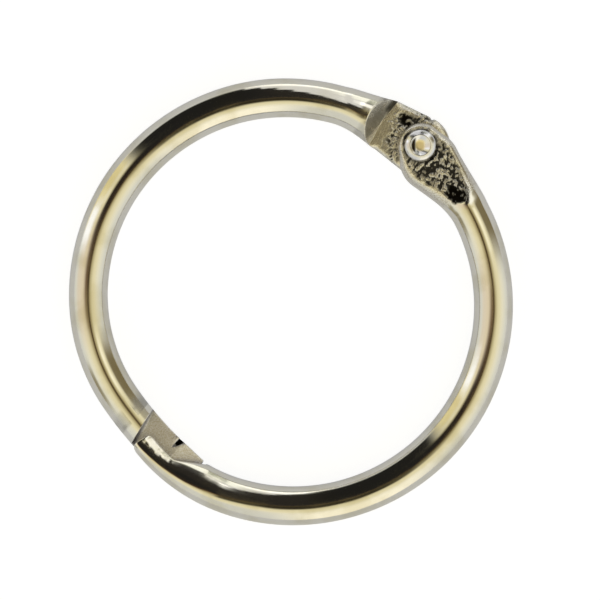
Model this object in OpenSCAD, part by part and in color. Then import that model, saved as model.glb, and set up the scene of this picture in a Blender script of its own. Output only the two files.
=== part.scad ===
// Hinged binder ring: two half rings of round bar, lapped on a rivet at one end
// and closing one over the other at the clasp on the far side.
// The closed ring lies flat with +Z up: its middle is over the origin, its underside at Z = 0.

/* [Ring] */
// Inside diameter of the closed ring
inside_d = 25.4; // [25.2:0.1:25.8]
// Diameter of the round bar
bar_d = 2.7; // [2.6:0.05:2.75]

/* [Hinge] */
// Direction of the rivet from the middle of the ring, in degrees
hinge_a = 50.4; // [49.6:0.2:51.2]
// Diameter of the rivet's shank
shank_d = 1.2; // [1:0.05:1.3]
// Diameter of the rivet's two heads
head_d = 2.16; // [1.9:0.02:2.2]
// Thickness of each rivet head
head_h = 0.42; // [0.36:0.02:0.44]
// Width of the cupped hollow in the front head
cup_d = 1.3; // [0.9:0.05:1.4]
// Depth of the cupped hollow
cup_h = 0.32; // [0.2:0.02:0.34]
// Height of each pressed plate's outer face above the ring's middle plane
face_h = 0.85; // [0.8:0.01:0.87]
// Radius of the left plate's rounded end
left_eye_r = 2.2; // [2.1:0.05:2.25]
// Radius of the right plate's rounded end
right_eye_r = 1.62; // [1.55:0.01:1.7]

/* [Clasp] */
// Length of the left half's tongue, measured along the bar
tongue_l = 4.9; // [4.6:0.1:5]
// Slant of the tongue's step across the bar, in degrees
step_slant = 17.5; // [14:0.5:20]
// How far the right half's finger reaches inward from the middle of its bar
finger_in = 0.25; // [0.15:0.05:0.35]
// Depth of the small catch notch across the tongue's floor
notch_h = 0.24; // [0.15:0.01:0.3]

/* [Fits] */
// Gap between the two lapped faces
lap_gap = 0.06; // [0.04:0.01:0.08]
// Play between the rivet's shank and the right plate's hole, on the radius
pin_play = 0.05; // [0.02:0.01:0.08]
// Gap under the rivet's front head
head_gap = 0.03; // [0.02:0.01:0.05]

/* [Hidden] */
$fn = 96;

bar_r = bar_d / 2;
mid_r = inside_d / 2 + bar_r;
reach = 8;
plated_steel = [0.80, 0.79, 0.74];
rivet_steel = [0.78, 0.78, 0.76];

function polar(r, a) = [r * cos(a), r * sin(a)];
// Centre of a bend that carries on smoothly from another one at the angle a
function next_centre(centre, r, next_r, a) = centre + polar(r - next_r, a);

// Left half: a long bend, a tighter one, then the nearly straight tongue
left_r = mid_r - 0.43;
left_c = polar(0.576, 132);
left_start_a = hinge_a + 2.6;
left_end_a = 180.4;
tight_r = mid_r - 1.55;
tight_c = next_centre(left_c, left_r, tight_r, left_end_a);
tight_end_a = left_end_a + 34.4;
tongue_r = mid_r + 10.85;
tongue_c = next_centre(tight_c, tight_r, tongue_r, tight_end_a);
step_a = tight_end_a + 5.5;
tongue_end_a = step_a + tongue_l / tongue_r * 180 / PI;
step_round = 0.3;
notch_a = step_a + 5.7;
notch_w = 0.34;
tip_drop = 0.45;

// Right half: a long bend, then the nose bent in a little to meet the tongue
right_r = mid_r - 0.24;
right_c = polar(0.3275, -65);
right_start_a = hinge_a - 2.4;
right_end_a = 252.9;
nose_r = mid_r - 2.25;
nose_c = next_centre(right_c, right_r, nose_r, right_end_a);
finger_tip_a = 215.5;
finger_end_a = 238.8;
finger_flare = 28;
finger_round = 0.45;
tip_lean = 0.35;
shoulder_gap = 0.12;

// Rivet and pressed plates in the hinge's own frame: X along the bar towards
// the left half, Y towards the middle of the ring
rivet_place_r = mid_r - 0.13;
left_flare_at = [2.2, 0.28];
left_flare_r = 1.95;
left_root_at = [5.3, 1.02];
right_flare_at = [-1.2, 0.4];
right_flare_r = 2.07;
right_root_at = [-4.9, 1.05];
root_r = 1.15;
flare_h = 1.2;
eye_taper = 0.22;
wall_from = 3.1;
wall_to = 4.1;
ramp_from = 3.25;
ramp_to = 4.8;

// Lifts the ring from its middle plane onto the ground
module on_ground() {
    translate([0, 0, bar_r]) children();
}

// The hinge's frame
module at_rivet() {
    rotate(hinge_a) translate([rivet_place_r, 0, 0]) rotate(90) children();
}

// A place on a bend: X away from the bend's centre, Y along the bar
module at_bend(centre, r, a) {
    translate([centre.x, centre.y, 0]) rotate(a) translate([r, 0, 0]) children();
}

// One bend of the round bar
module bend(centre, r, from_a, to_a) {
    translate([centre.x, centre.y, 0])
        rotate_extrude(angle = to_a - from_a, start = from_a)
            translate([r, 0]) circle(d = bar_d);
}

// Prism along Y whose children are drawn as X and height
module across_x() {
    rotate([90, 0, 0]) linear_extrude(height = 2 * reach, center = true) children();
}

// Prism along X whose children are drawn as Y and height
module across_y() {
    rotate([90, 0, 90]) linear_extrude(height = 2 * reach, center = true) children();
}

module flare(place, r) {
    translate([place.x, place.y, 0]) scale([1, 1, flare_h / r]) sphere(r = r, $fn = 40);
}

// The bar's end spread sideways by the press, before its faces are cut;
// drawn for a plate on the upper side
module spread_end(eye_r, flare_at, flare_r, root_at) {
    hull() {
        cylinder(r1 = eye_r, r2 = eye_r - eye_taper, h = face_h + 0.1, $fn = 48);
        flare(flare_at, flare_r);
    }
    hull() {
        flare(flare_at, flare_r);
        translate([root_at.x, root_at.y, 0]) sphere(r = root_r, $fn = 32);
    }
}

// What the press takes from the right half's end: all below the lap face back
// to a leaning wall, and the crown down to the outer face by a ramp
module pressed_away() {
    across_x() polygon([[-wall_from, lap_gap / 2], [-wall_to, -bar_r], [-wall_to, -reach],
                        [reach, -reach], [reach, lap_gap / 2]]);
    across_x() polygon([[-ramp_from, face_h], [-ramp_to, bar_r], [-ramp_to, reach],
                        [reach, reach], [reach, face_h]]);
}

// Room above the tongue's floor, with a small radius at the foot of the step
module step_room() {
    across_y() translate([0, -lap_gap / 2]) difference() {
        square([reach, 2 * bar_r]);
        difference() {
            square(step_round);
            translate([step_round, step_round]) circle(r = step_round);
        }
    }
}

// Catch notch, open on the ring's inner side: a steep face, then a leaning one
module catch_notch() {
    rotate([90, 0, -90]) linear_extrude(height = reach)
        polygon([[0.05, 0], [0, -lap_gap / 2 - notch_h], [-notch_w, -lap_gap / 2], [-notch_w, 0]]);
}

// The tongue's floor falls away from the notch to the tip
module tongue_slope() {
    slope_l = tongue_l - (notch_a - step_a) * PI / 180 * tongue_r - notch_w;
    far = 2 * slope_l;
    across_y() translate([notch_w, -lap_gap / 2])
        polygon([[0, 0], [far, -2 * tip_drop], [far, bar_r], [0, bar_r]]);
}

module left_half_ring() {
    color(plated_steel) on_ground() difference() {
        union() {
            bend(left_c, left_r, left_start_a, left_end_a);
            bend(tight_c, tight_r, left_end_a, tight_end_a);
            bend(tongue_c, tongue_r, tight_end_a, tongue_end_a);
            at_rivet() mirror([0, 0, 1])
                spread_end(left_eye_r, left_flare_at, left_flare_r, left_root_at);
        }
        at_rivet() rotate([0, 180, 0]) pressed_away();
        at_rivet() cylinder(d = shank_d, h = 2 * bar_d, center = true);
        at_bend(tongue_c, tongue_r, step_a) rotate(step_slant) step_room();
        at_bend(tongue_c, tongue_r, notch_a) catch_notch();
        at_bend(tongue_c, tongue_r, notch_a) tongue_slope();
    }
}

// Room for the tongue behind the finger, back to the shoulder it closes against
module tongue_room() {
    at_bend(tongue_c, tongue_r, tongue_end_a)
        translate([-reach / 2, shoulder_gap - reach, lap_gap / 2 - reach]) cube(reach);
}

// What is cut from the nose's inner side: a wall along the bar, then a slant
// out to the full bar
module finger_side() {
    linear_extrude(height = 2 * bar_d, center = true) translate(nose_c) intersection() {
        circle(r = nose_r - finger_in, $fn = 200);
        rotate(finger_end_a) translate([nose_r - bar_r, 0]) rotate(90 + finger_flare)
            translate([-2 * reach, 0]) square([2 * reach + 0.2, reach]);
    }
}

// What rounding a square corner at the origin takes away
module corner_waste(r) {
    difference() {
        translate([-r, -r]) square(2 * r);
        translate([r, r]) circle(r = r);
    }
}

// The finger's end leans back towards its underside, and both corners are rounded
module finger_tip() {
    across_y() polygon([[-reach, bar_r], [0, bar_r], [tip_lean, 0],
                        [tip_lean, -bar_r], [-reach, -bar_r]]);
    linear_extrude(height = 2 * bar_d, center = true) {
        translate([-finger_in, 0]) corner_waste(finger_round);
        translate([bar_r, 0]) mirror([1, 0]) corner_waste(finger_round);
    }
}

module right_half_ring() {
    color(plated_steel) on_ground() difference() {
        union() {
            bend(right_c, right_r, right_end_a - 360, right_start_a);
            bend(nose_c, nose_r, finger_tip_a, right_end_a);
            at_rivet() spread_end(right_eye_r, right_flare_at, right_flare_r, right_root_at);
        }
        at_rivet() pressed_away();
        at_rivet() cylinder(r = shank_d / 2 + pin_play, h = 2 * bar_d, center = true);
        tongue_room();
        finger_side();
        at_bend(nose_c, nose_r, finger_tip_a) finger_tip();
    }
}

// Solid rivet: a flat head behind the left plate, a cupped head over the right one
module hinge_rivet() {
    head_r = head_d / 2;
    edge = 0.08;
    seat = face_h + head_gap;
    top = seat + head_h;
    back = -face_h - head_h;
    color(rivet_steel) on_ground() at_rivet() rotate_extrude()
        polygon([[0, back], [head_r - edge, back], [head_r, back + edge], [head_r, -face_h],
                 [shank_d / 2, -face_h], [shank_d / 2, seat], [head_r, seat],
                 [head_r, top - edge], [head_r - edge, top], [cup_d / 2, top],
                 [cup_d / 6, top - cup_h], [0, top - cup_h]]);
}

left_half_ring();
right_half_ring();
hinge_rivet();
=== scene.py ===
"""Looks of a hinged binder ring: two plated half rings, their pressed hinge plates and a cupped rivet."""

import logging
import math
from collections.abc import Callable
from dataclasses import dataclass, field
from enum import Enum, IntEnum

import bpy
import numpy as np
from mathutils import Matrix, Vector

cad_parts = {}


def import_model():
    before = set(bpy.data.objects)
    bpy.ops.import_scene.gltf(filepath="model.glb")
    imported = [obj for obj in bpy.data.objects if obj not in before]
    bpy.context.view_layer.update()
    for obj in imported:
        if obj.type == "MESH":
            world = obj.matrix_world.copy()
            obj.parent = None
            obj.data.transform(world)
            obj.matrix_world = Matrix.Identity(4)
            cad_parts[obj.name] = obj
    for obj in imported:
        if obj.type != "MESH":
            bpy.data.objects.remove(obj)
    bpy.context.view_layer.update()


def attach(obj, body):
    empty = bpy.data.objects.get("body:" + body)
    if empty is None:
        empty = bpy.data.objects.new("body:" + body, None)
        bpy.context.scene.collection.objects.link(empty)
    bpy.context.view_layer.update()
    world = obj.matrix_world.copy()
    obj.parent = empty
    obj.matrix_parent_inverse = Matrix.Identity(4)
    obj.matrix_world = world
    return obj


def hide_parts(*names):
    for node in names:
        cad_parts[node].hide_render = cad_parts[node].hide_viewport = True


LOG = logging.getLogger("binder_ring")
MM = 0.001
Array = np.ndarray


class Seed(IntEnum):
    """Which random pattern each unevenness follows; a dent and the shade painted into it share one."""

    FACE_COARSE = 3
    FACE_FINE = 5
    FACE_BROAD = 6
    SCOOP_EDGE = 7
    PEENED_EDGE = 8
    HOLLOW_EDGE = 9
    DENTS_COARSE = 13
    DENTS_FINE = 14
    HOLLOW_FLOOR = 15
    WALL_SHADE = 16
    NOTCH_SHADE = 17
    NOTCH_EDGE = 18
    FACE_EDGE = 19
    RIGHT_FILM = 20
    LEFT_FILM = 21
    WAVER_FINE = 31
    WAVER_BROAD = 32
    DRESSING = 41


# --- Small helpers -----------------------------------------------------------


def linear(hex_colour: str) -> tuple[float, float, float, float]:
    """Turn an sRGB hex colour into linear RGBA.

    Args:
        hex_colour: The colour, as #rrggbb.

    Returns:
        Red, green, blue and a full alpha.
    """
    srgb = np.array([int(hex_colour[i : i + 2], 16) for i in (1, 3, 5)]) / 255
    rgb = np.where(srgb <= 0.04045, srgb / 12.92, ((srgb + 0.055) / 1.055) ** 2.4)
    return (*rgb.tolist(), 1.0)


def add_node(tree: bpy.types.NodeTree, kind: str, links: dict | None = None, **settings: object) -> bpy.types.Node:
    """Add one shader node with its settings and links.

    Args:
        tree: The node tree that gets the node.
        kind: The node's Blender type name.
        links: Input name or number to the output socket, or the constant, that feeds it.
        settings: Attributes set on the node itself.

    Returns:
        The new node.
    """
    node = tree.nodes.new(kind)
    for name, value in settings.items():
        setattr(node, name, value)
    for name, source in (links or {}).items():
        if isinstance(source, bpy.types.NodeSocket):
            tree.links.new(source, node.inputs[name])
        else:
            node.inputs[name].default_value = source
    return node


def smooth_step(value: Array, low: float, high: float) -> Array:
    """Rise from 0 at low to 1 at high as 3t^2 - 2t^3; low may be above high."""
    t = np.clip((value - low) / (high - low), 0.0, 1.0)
    return t * t * (3 - 2 * t)


def soft_max(a: Array, b: Array, width: float) -> Array:
    """The larger of two fields, with the crease between them rounded over the width.

    Where they differ by less than the width, (width - difference)^2 / (4 width) is added.

    Args:
        a: The first field.
        b: The second field.
        width: Difference at which the rounding starts.

    Returns:
        The joined field.
    """
    overlap = np.clip(width - np.abs(a - b), 0.0, None)
    return np.maximum(a, b) + overlap**2 / (4 * width)


def soft_min(a: Array, b: Array, width: float) -> Array:
    """The smaller of two fields, with the crease between them filled over the width."""
    return -soft_max(-a, -b, width)


def lumps(x: Array, y: Array, pitch: float, seed: Seed) -> Array:
    """Smooth random heights from -1 to 1: seeded values on a square lattice, eased between its corners.

    Args:
        x: First coordinate, in mm.
        y: Second coordinate, in mm.
        pitch: The lattice's spacing, in mm.
        seed: Which set of values.

    Returns:
        The height at each point.
    """
    size = 64
    table = np.random.default_rng(int(seed)).uniform(-1, 1, (size, size))
    u, v = x / pitch, y / pitch
    i, j = np.floor(u).astype(int), np.floor(v).astype(int)
    fu, fv = smooth_step(u - i, 0, 1), smooth_step(v - j, 0, 1)
    i0, i1, j0, j1 = i % size, (i + 1) % size, j % size, (j + 1) % size
    low = table[i0, j0] * (1 - fu) + table[i1, j0] * fu
    high = table[i0, j1] * (1 - fu) + table[i1, j1] * fu
    return low * (1 - fv) + high * fv


def on_circle(radius: float, degrees: float) -> tuple[float, float]:
    """X and Y of the point at this radius and angle about the origin."""
    return radius * math.cos(math.radians(degrees)), radius * math.sin(math.radians(degrees))


# --- The bar's middle line ---------------------------------------------------


@dataclass(frozen=True)
class Bend:
    """One bend of the bar: an arc of this radius, up to this angle about its own centre."""

    radius: float
    end_angle: float


@dataclass
class BarLine:
    """The middle line of a half ring: arcs that follow on smoothly, measured in mm from the rivet.

    Attributes:
        centre: Centre of the first bend.
        start_angle: Direction of the rivet from that centre, in degrees.
        bends: The bends in order.
        turn: 1 when the line runs anticlockwise seen from above, -1 when clockwise.
    """

    centre: tuple[float, float]
    start_angle: float
    bends: tuple[Bend, ...]
    turn: int
    starts: list[float] = field(default_factory=list)
    centres: list[Array] = field(default_factory=list)
    angles: list[float] = field(default_factory=list)
    length: float = 0.0

    def __post_init__(self) -> None:
        """Work out where each bend starts and its centre."""
        centre, angle = np.array(self.centre), self.start_angle
        for number, bend in enumerate(self.bends):
            if number:
                away = np.array(on_circle(1.0, angle))
                centre = centre + (self.bends[number - 1].radius - bend.radius) * away
            self.starts.append(self.length)
            self.centres.append(centre)
            self.angles.append(angle)
            self.length += abs(math.radians(bend.end_angle - angle)) * bend.radius
            angle = bend.end_angle

    def place(self, along: Array, out: Array) -> tuple[Array, Array]:
        """Plan position of points on the bar.

        The point is the bend's centre plus (radius + out) times the unit vector at
        start angle + turn * (along - bend start) / radius.

        Args:
            along: Distance along the middle line, in mm.
            out: Distance outward from it, in mm.

        Returns:
            The X and Y of each point, in mm.
        """
        along, out = np.broadcast_arrays(along, out)
        number = np.clip(np.searchsorted(np.array(self.starts), along, side="right") - 1, 0, None)
        radius = np.array([b.radius for b in self.bends])[number]
        start = np.radians(np.array(self.angles))[number]
        centre = np.array(self.centres)[number]
        angle = start + self.turn * (along - np.array(self.starts)[number]) / radius
        return (centre[..., 0] + (radius + out) * np.cos(angle), centre[..., 1] + (radius + out) * np.sin(angle))

    def along_at(self, bend: int, angle: float) -> float:
        """Distance along the line of an angle on one of its bends."""
        return self.starts[bend] + abs(math.radians(angle - self.angles[bend])) * self.bends[bend].radius


# --- Sizes shared by the pieces ----------------------------------------------


@dataclass(frozen=True)
class RingSizes:
    """The ring's own sizes in mm and degrees, as the frame has them.

    Attributes:
        bar_r: The bar's radius.
        mid_r: Radius of the ring's middle line.
        hinge_angle: Direction of the rivet from the ring's middle.
        rivet_in: How far inside the middle line the rivet stands.
        lap: Half the gap between the lapped faces.
        face: Height of a plate's outer face from the middle plane.
        wall_from: Distance from the rivet to the foot of the wall that leans back to the full bar.
        wall_to: Distance to that wall's top.
        ramp_from: Distance at which a plate's outer face starts to rise.
        ramp_to: Distance at which it reaches the bar.
    """

    bar_r: float = 1.35
    mid_r: float = 14.05
    hinge_angle: float = 50.4
    rivet_in: float = 0.13
    lap: float = 0.03
    face: float = 0.85
    wall_from: float = 3.1
    wall_to: float = 4.1
    ramp_from: float = 3.25
    ramp_to: float = 4.8

    @property
    def rivet(self) -> tuple[float, float]:
        """Plan position of the rivet."""
        return on_circle(self.mid_r - self.rivet_in, self.hinge_angle)

    def hinge_frame(self, x: Array, y: Array) -> tuple[Array, Array]:
        """Plan points in the hinge's frame, which is centred on the rivet and turned with the bar.

        Args:
            x: X in the ring's frame.
            y: Y in the ring's frame.

        Returns:
            Distance along the bar to the left half, and distance in to the ring's middle.
        """
        dx, dy = x - self.rivet[0], y - self.rivet[1]
        c, s = on_circle(1.0, self.hinge_angle + 90)
        return dx * c + dy * s, -dx * s + dy * c

    def line(self, centre: tuple[float, float], bends: tuple[Bend, ...], turn: int) -> BarLine:
        """The middle line that leaves the rivet on this first centre."""
        start = math.degrees(math.atan2(self.rivet[1] - centre[1], self.rivet[0] - centre[0]))
        return BarLine(centre, start, bends, turn)


def capsule(x: Array, y: Array, a: tuple[float, float], ra: float, b: tuple[float, float], rb: float) -> Array:
    """Distance to the outline wrapped round two circles; negative inside.

    The plane is folded about the line of centres, and each point is measured to
    the first circle, the second one or the tangent between them.

    Args:
        x: X of the points.
        y: Y of the points.
        a: Centre of the first circle.
        ra: Its radius.
        b: Centre of the second circle.
        rb: Its radius.

    Returns:
        The distance of each point.
    """
    bx, by = b[0] - a[0], b[1] - a[1]
    px, py = x - a[0], y - a[1]
    h = bx * bx + by * by
    qx, qy = np.abs(px * by - py * bx) / h, (px * bx + py * by) / h
    lean = ra - rb
    cx, cy = math.sqrt(h - lean * lean), lean
    k, m = cx * qy - cy * qx, cx * qx + cy * qy
    near_a = np.sqrt(h * (qx**2 + qy**2)) - ra
    near_b = np.sqrt(np.clip(h * (qx**2 + qy**2 + 1 - 2 * qy), 0, None)) - rb
    return np.where(k < 0, near_a, np.where(k > cx, near_b, m - ra))


def waver(along: Array, out: Array, up: Array) -> Array:
    """Slight waviness of a drawn and plated bar: lumps 1.4 mm and 3.1 mm long, inwards only, 0.016 mm at most.

    Args:
        along: Distance along the bar.
        out: Distance outward.
        up: Height above the middle plane.

    Returns:
        How far the skin sinks, in mm.
    """
    fine = lumps(along + 0.8 * up, out - 0.7 * up, 1.4, Seed.WAVER_FINE)
    broad = lumps(along - 0.5 * up, out + 0.9 * up, 3.1, Seed.WAVER_BROAD)
    return 0.004 * (2 + fine + broad)


def rounded(plan: Array, edge: float | Array, up: Array, bar_r: float) -> Array:
    """Give a plan outline an elliptical edge: (sqrt(((d + e) / e)^2 + (up / b)^2) - 1) b.

    Args:
        plan: Distance d to the outline, negative inside.
        edge: The edge's reach e, in from the outline.
        up: Height above the middle plane.
        bar_r: The bar's radius b, which is the edge's half height.

    Returns:
        The rounded body's field.
    """
    return (np.hypot(np.clip(plan + edge, 0, None) / edge, up / bar_r) - 1) * bar_r


@dataclass(frozen=True)
class Plate:
    """Plan outline of one pressed hinge plate, in the hinge's frame, in mm.

    Attributes:
        eye_r: Radius round the rivet.
        flare_at: Centre of the widest part.
        flare_r: Its radius.
        root_at: Centre of the circle where the plate meets the bar.
        root_r: Its radius.
        reach: Distance along the bar past which there is only the bar.
        blend: Width over which the plate and the bar flow together.
    """

    eye_r: float
    flare_at: tuple[float, float]
    flare_r: float
    root_at: tuple[float, float]
    root_r: float = 1.15
    reach: float = 9.0
    blend: float = 0.5

    def distance(self, x: Array, y: Array) -> Array:
        """Distance to the plate's outline, the nearer of its head and its neck.

        Args:
            x: X in the hinge's frame.
            y: Y in the hinge's frame.

        Returns:
            The distance, negative inside.
        """
        head = capsule(x, y, (0.0, 0.0), self.eye_r, self.flare_at, self.flare_r)
        neck = capsule(x, y, self.flare_at, self.flare_r, self.root_at, self.root_r)
        return np.minimum(head, neck)

    def spread(self, bar: Array, along: Array, x: Array, y: Array) -> Array:
        """The bar's plan field with the plate joined to it; x and y are in the hinge's frame."""
        return np.where(along < self.reach, soft_min(bar, self.distance(x, y), self.blend), bar)


# --- Swept surfaces ----------------------------------------------------------


@dataclass
class Section:
    """What a half ring's section is at each station: arrays with one value a station.

    Attributes:
        along: Distance along the bar.
        centre_out: How far outward the rays' centre stands.
        centre_up: How high it stands.
        half_wide: Half width that the rays are spaced for.
        half_high: Half height that they are spaced for.
        slant: Lean of the station in plan, in degrees.
    """

    along: Array
    centre_out: Array
    centre_up: Array
    half_wide: Array
    half_high: Array
    slant: Array


Solid = Callable[[Array, Array, Array], Array]
RAY_LONG = 4.0
HALVINGS = 26


def ray_angles(rays: int) -> Array:
    """Angles t = u + 0.5 cos u from the underside, u evenly spaced: three times closer above than below."""
    even = np.linspace(-np.pi / 2, 1.5 * np.pi, rays, endpoint=False)
    return even + 0.5 * np.cos(even)


def sweep_grid(line: BarLine, section: Section, solid: Solid, rays: int) -> tuple[Array, Array, Array, Array]:
    """The skin of a solid along the bar, as a grid of stations by rays.

    Each ray leaves its section's centre at the angle whose tangent is
    (half_high sin t) / (half_wide cos t), with t from ray_angles, and stops where the
    solid's field passes zero. The crossing is found by halving a 4 mm ray 26 times.

    Args:
        line: The bar's middle line.
        section: Centres and proportions of the sections.
        solid: Field of (along, out, up) that is negative inside.
        rays: Number of rays round a section.

    Returns:
        X, Y and Z of the skin and its station's distance along the bar, all in mm.
    """
    t = ray_angles(rays)[None, :]
    go_out = section.half_wide[:, None] * np.cos(t)
    go_up = section.half_high[:, None] * np.sin(t)
    size = np.hypot(go_out, go_up)
    go_out, go_up = go_out / size, go_up / size
    out0, up0 = section.centre_out[:, None], section.centre_up[:, None]
    near, far = np.zeros_like(go_out), np.full_like(go_out, RAY_LONG)
    lean = np.tan(np.radians(section.slant))[:, None]
    for _ in range(HALVINGS):
        middle = (near + far) / 2
        out, up = out0 + go_out * middle, up0 + go_up * middle
        inside = solid(section.along[:, None], out, up) < 0
        near, far = np.where(inside, middle, near), np.where(inside, far, middle)
    out, up = out0 + go_out * near, up0 + go_up * near
    x, y = line.place(section.along[:, None] + lean * out, out)
    return x, y, up, np.broadcast_to(section.along[:, None], out.shape)


def swept_uv(marked: Array, bar_r: float) -> tuple[Array, Array]:
    """Distance along and distance round the bar, in mm, at each point of a swept grid."""
    return marked, np.broadcast_to(ray_angles(marked.shape[1])[None, :] * bar_r, marked.shape)


def grid_mesh(name: str, x: Array, y: Array, z: Array, uv: tuple[Array, Array],
              marks: dict[str, Array]) -> bpy.types.Object:
    """Make a closed tube mesh from a grid whose rows run round it, with a fan over each end.

    Args:
        name: Name of the object.
        x: X of the grid in mm.
        y: Y of the grid in mm.
        z: Z of the grid in mm.
        uv: Distance along and distance round, in mm, for each grid point.
        marks: Named fields from 0 to 1 kept on the points for the materials.

    Returns:
        The object, with its place in its mesh.
    """
    rows, cols = x.shape
    points = np.stack([x, y, z], -1).reshape(-1, 3)
    ends = np.stack([points[:cols].mean(0), points[-cols:].mean(0)])
    verts = np.concatenate([points, ends]) * MM
    i = np.arange(rows - 1)[:, None] * cols
    j = np.arange(cols)[None, :]
    j1 = (j + 1) % cols
    quads = np.stack([i + j, i + j1, i + cols + j1, i + cols + j], -1).reshape(-1, 4)
    first = np.stack([np.full(cols, rows * cols), j1[0], j[0]], -1)
    last_row = (rows - 1) * cols
    last = np.stack([np.full(cols, rows * cols + 1), last_row + j[0], last_row + j1[0]], -1)
    mesh = bpy.data.meshes.new(name)
    mesh.from_pydata(verts.tolist(), [], quads.tolist() + first.tolist() + last.tolist())
    layer = mesh.uv_layers.new(name="along_round")
    corner = np.zeros(len(mesh.loops), dtype=np.int64)
    mesh.loops.foreach_get("vertex_index", corner)
    flat_u = np.append(uv[0].reshape(-1), [uv[0][0].mean(), uv[0][-1].mean()])
    flat_v = np.append(uv[1].reshape(-1), [0.0, 0.0])
    layer.data.foreach_set("uv", np.stack([flat_u[corner], flat_v[corner]], -1).reshape(-1).astype(np.float32))
    for mark, values in marks.items():
        attribute = mesh.attributes.new(mark, "FLOAT", "POINT")
        filled = np.append(values.reshape(-1), [values[0].mean(), values[-1].mean()])
        attribute.data.foreach_set("value", filled.astype(np.float32))
    mesh.polygons.foreach_set("use_smooth", np.ones(len(mesh.polygons), dtype=bool))
    obj = bpy.data.objects.new(name, mesh)
    bpy.context.scene.collection.objects.link(obj)
    if signed_volume(verts, np.concatenate([quads[:, [0, 1, 2]], quads[:, [0, 2, 3]], first, last])) < 0:
        mesh.flip_normals()
    return obj


def signed_volume(verts: Array, triangles: Array) -> float:
    """Volume inside a closed mesh: a sixth of the sum of a . (b x c); negative when its faces point in."""
    a, b, c = verts[triangles[:, 0]], verts[triangles[:, 1]], verts[triangles[:, 2]]
    return float(np.einsum("ij,ij->i", a, np.cross(b, c)).sum() / 6)


def stations(*stretches: tuple[float, float, float]) -> Array:
    """Distances along the bar from (from, to, spacing) stretches, joined in order."""
    parts = [np.linspace(a, b, max(2, round(abs(b - a) / step) + 1))[:-1] for a, b, step in stretches]
    return np.concatenate(parts + [np.array([stretches[-1][1]])])


def eye_stations(end: float, to: float, count: int) -> Array:
    """Stations over a rounded end, closest together at the end itself: end + (to - end)(1 - cos t)."""
    t = np.linspace(0.0, math.pi / 2, count)
    return end + (to - end) * (1 - np.cos(t))


# --- The two half rings ------------------------------------------------------

# Beyond the bar's surface, in mm: a cut at this height takes nothing off.
CLEAR = 3.0


def oval(x: Array, y: Array, at: tuple[float, float], wide: tuple[float, float]) -> Array:
    """Distance from an oval's centre as a share of its half widths: 1 on its edge."""
    return np.hypot((x - at[0]) / wide[0], (y - at[1]) / wide[1])


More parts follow.
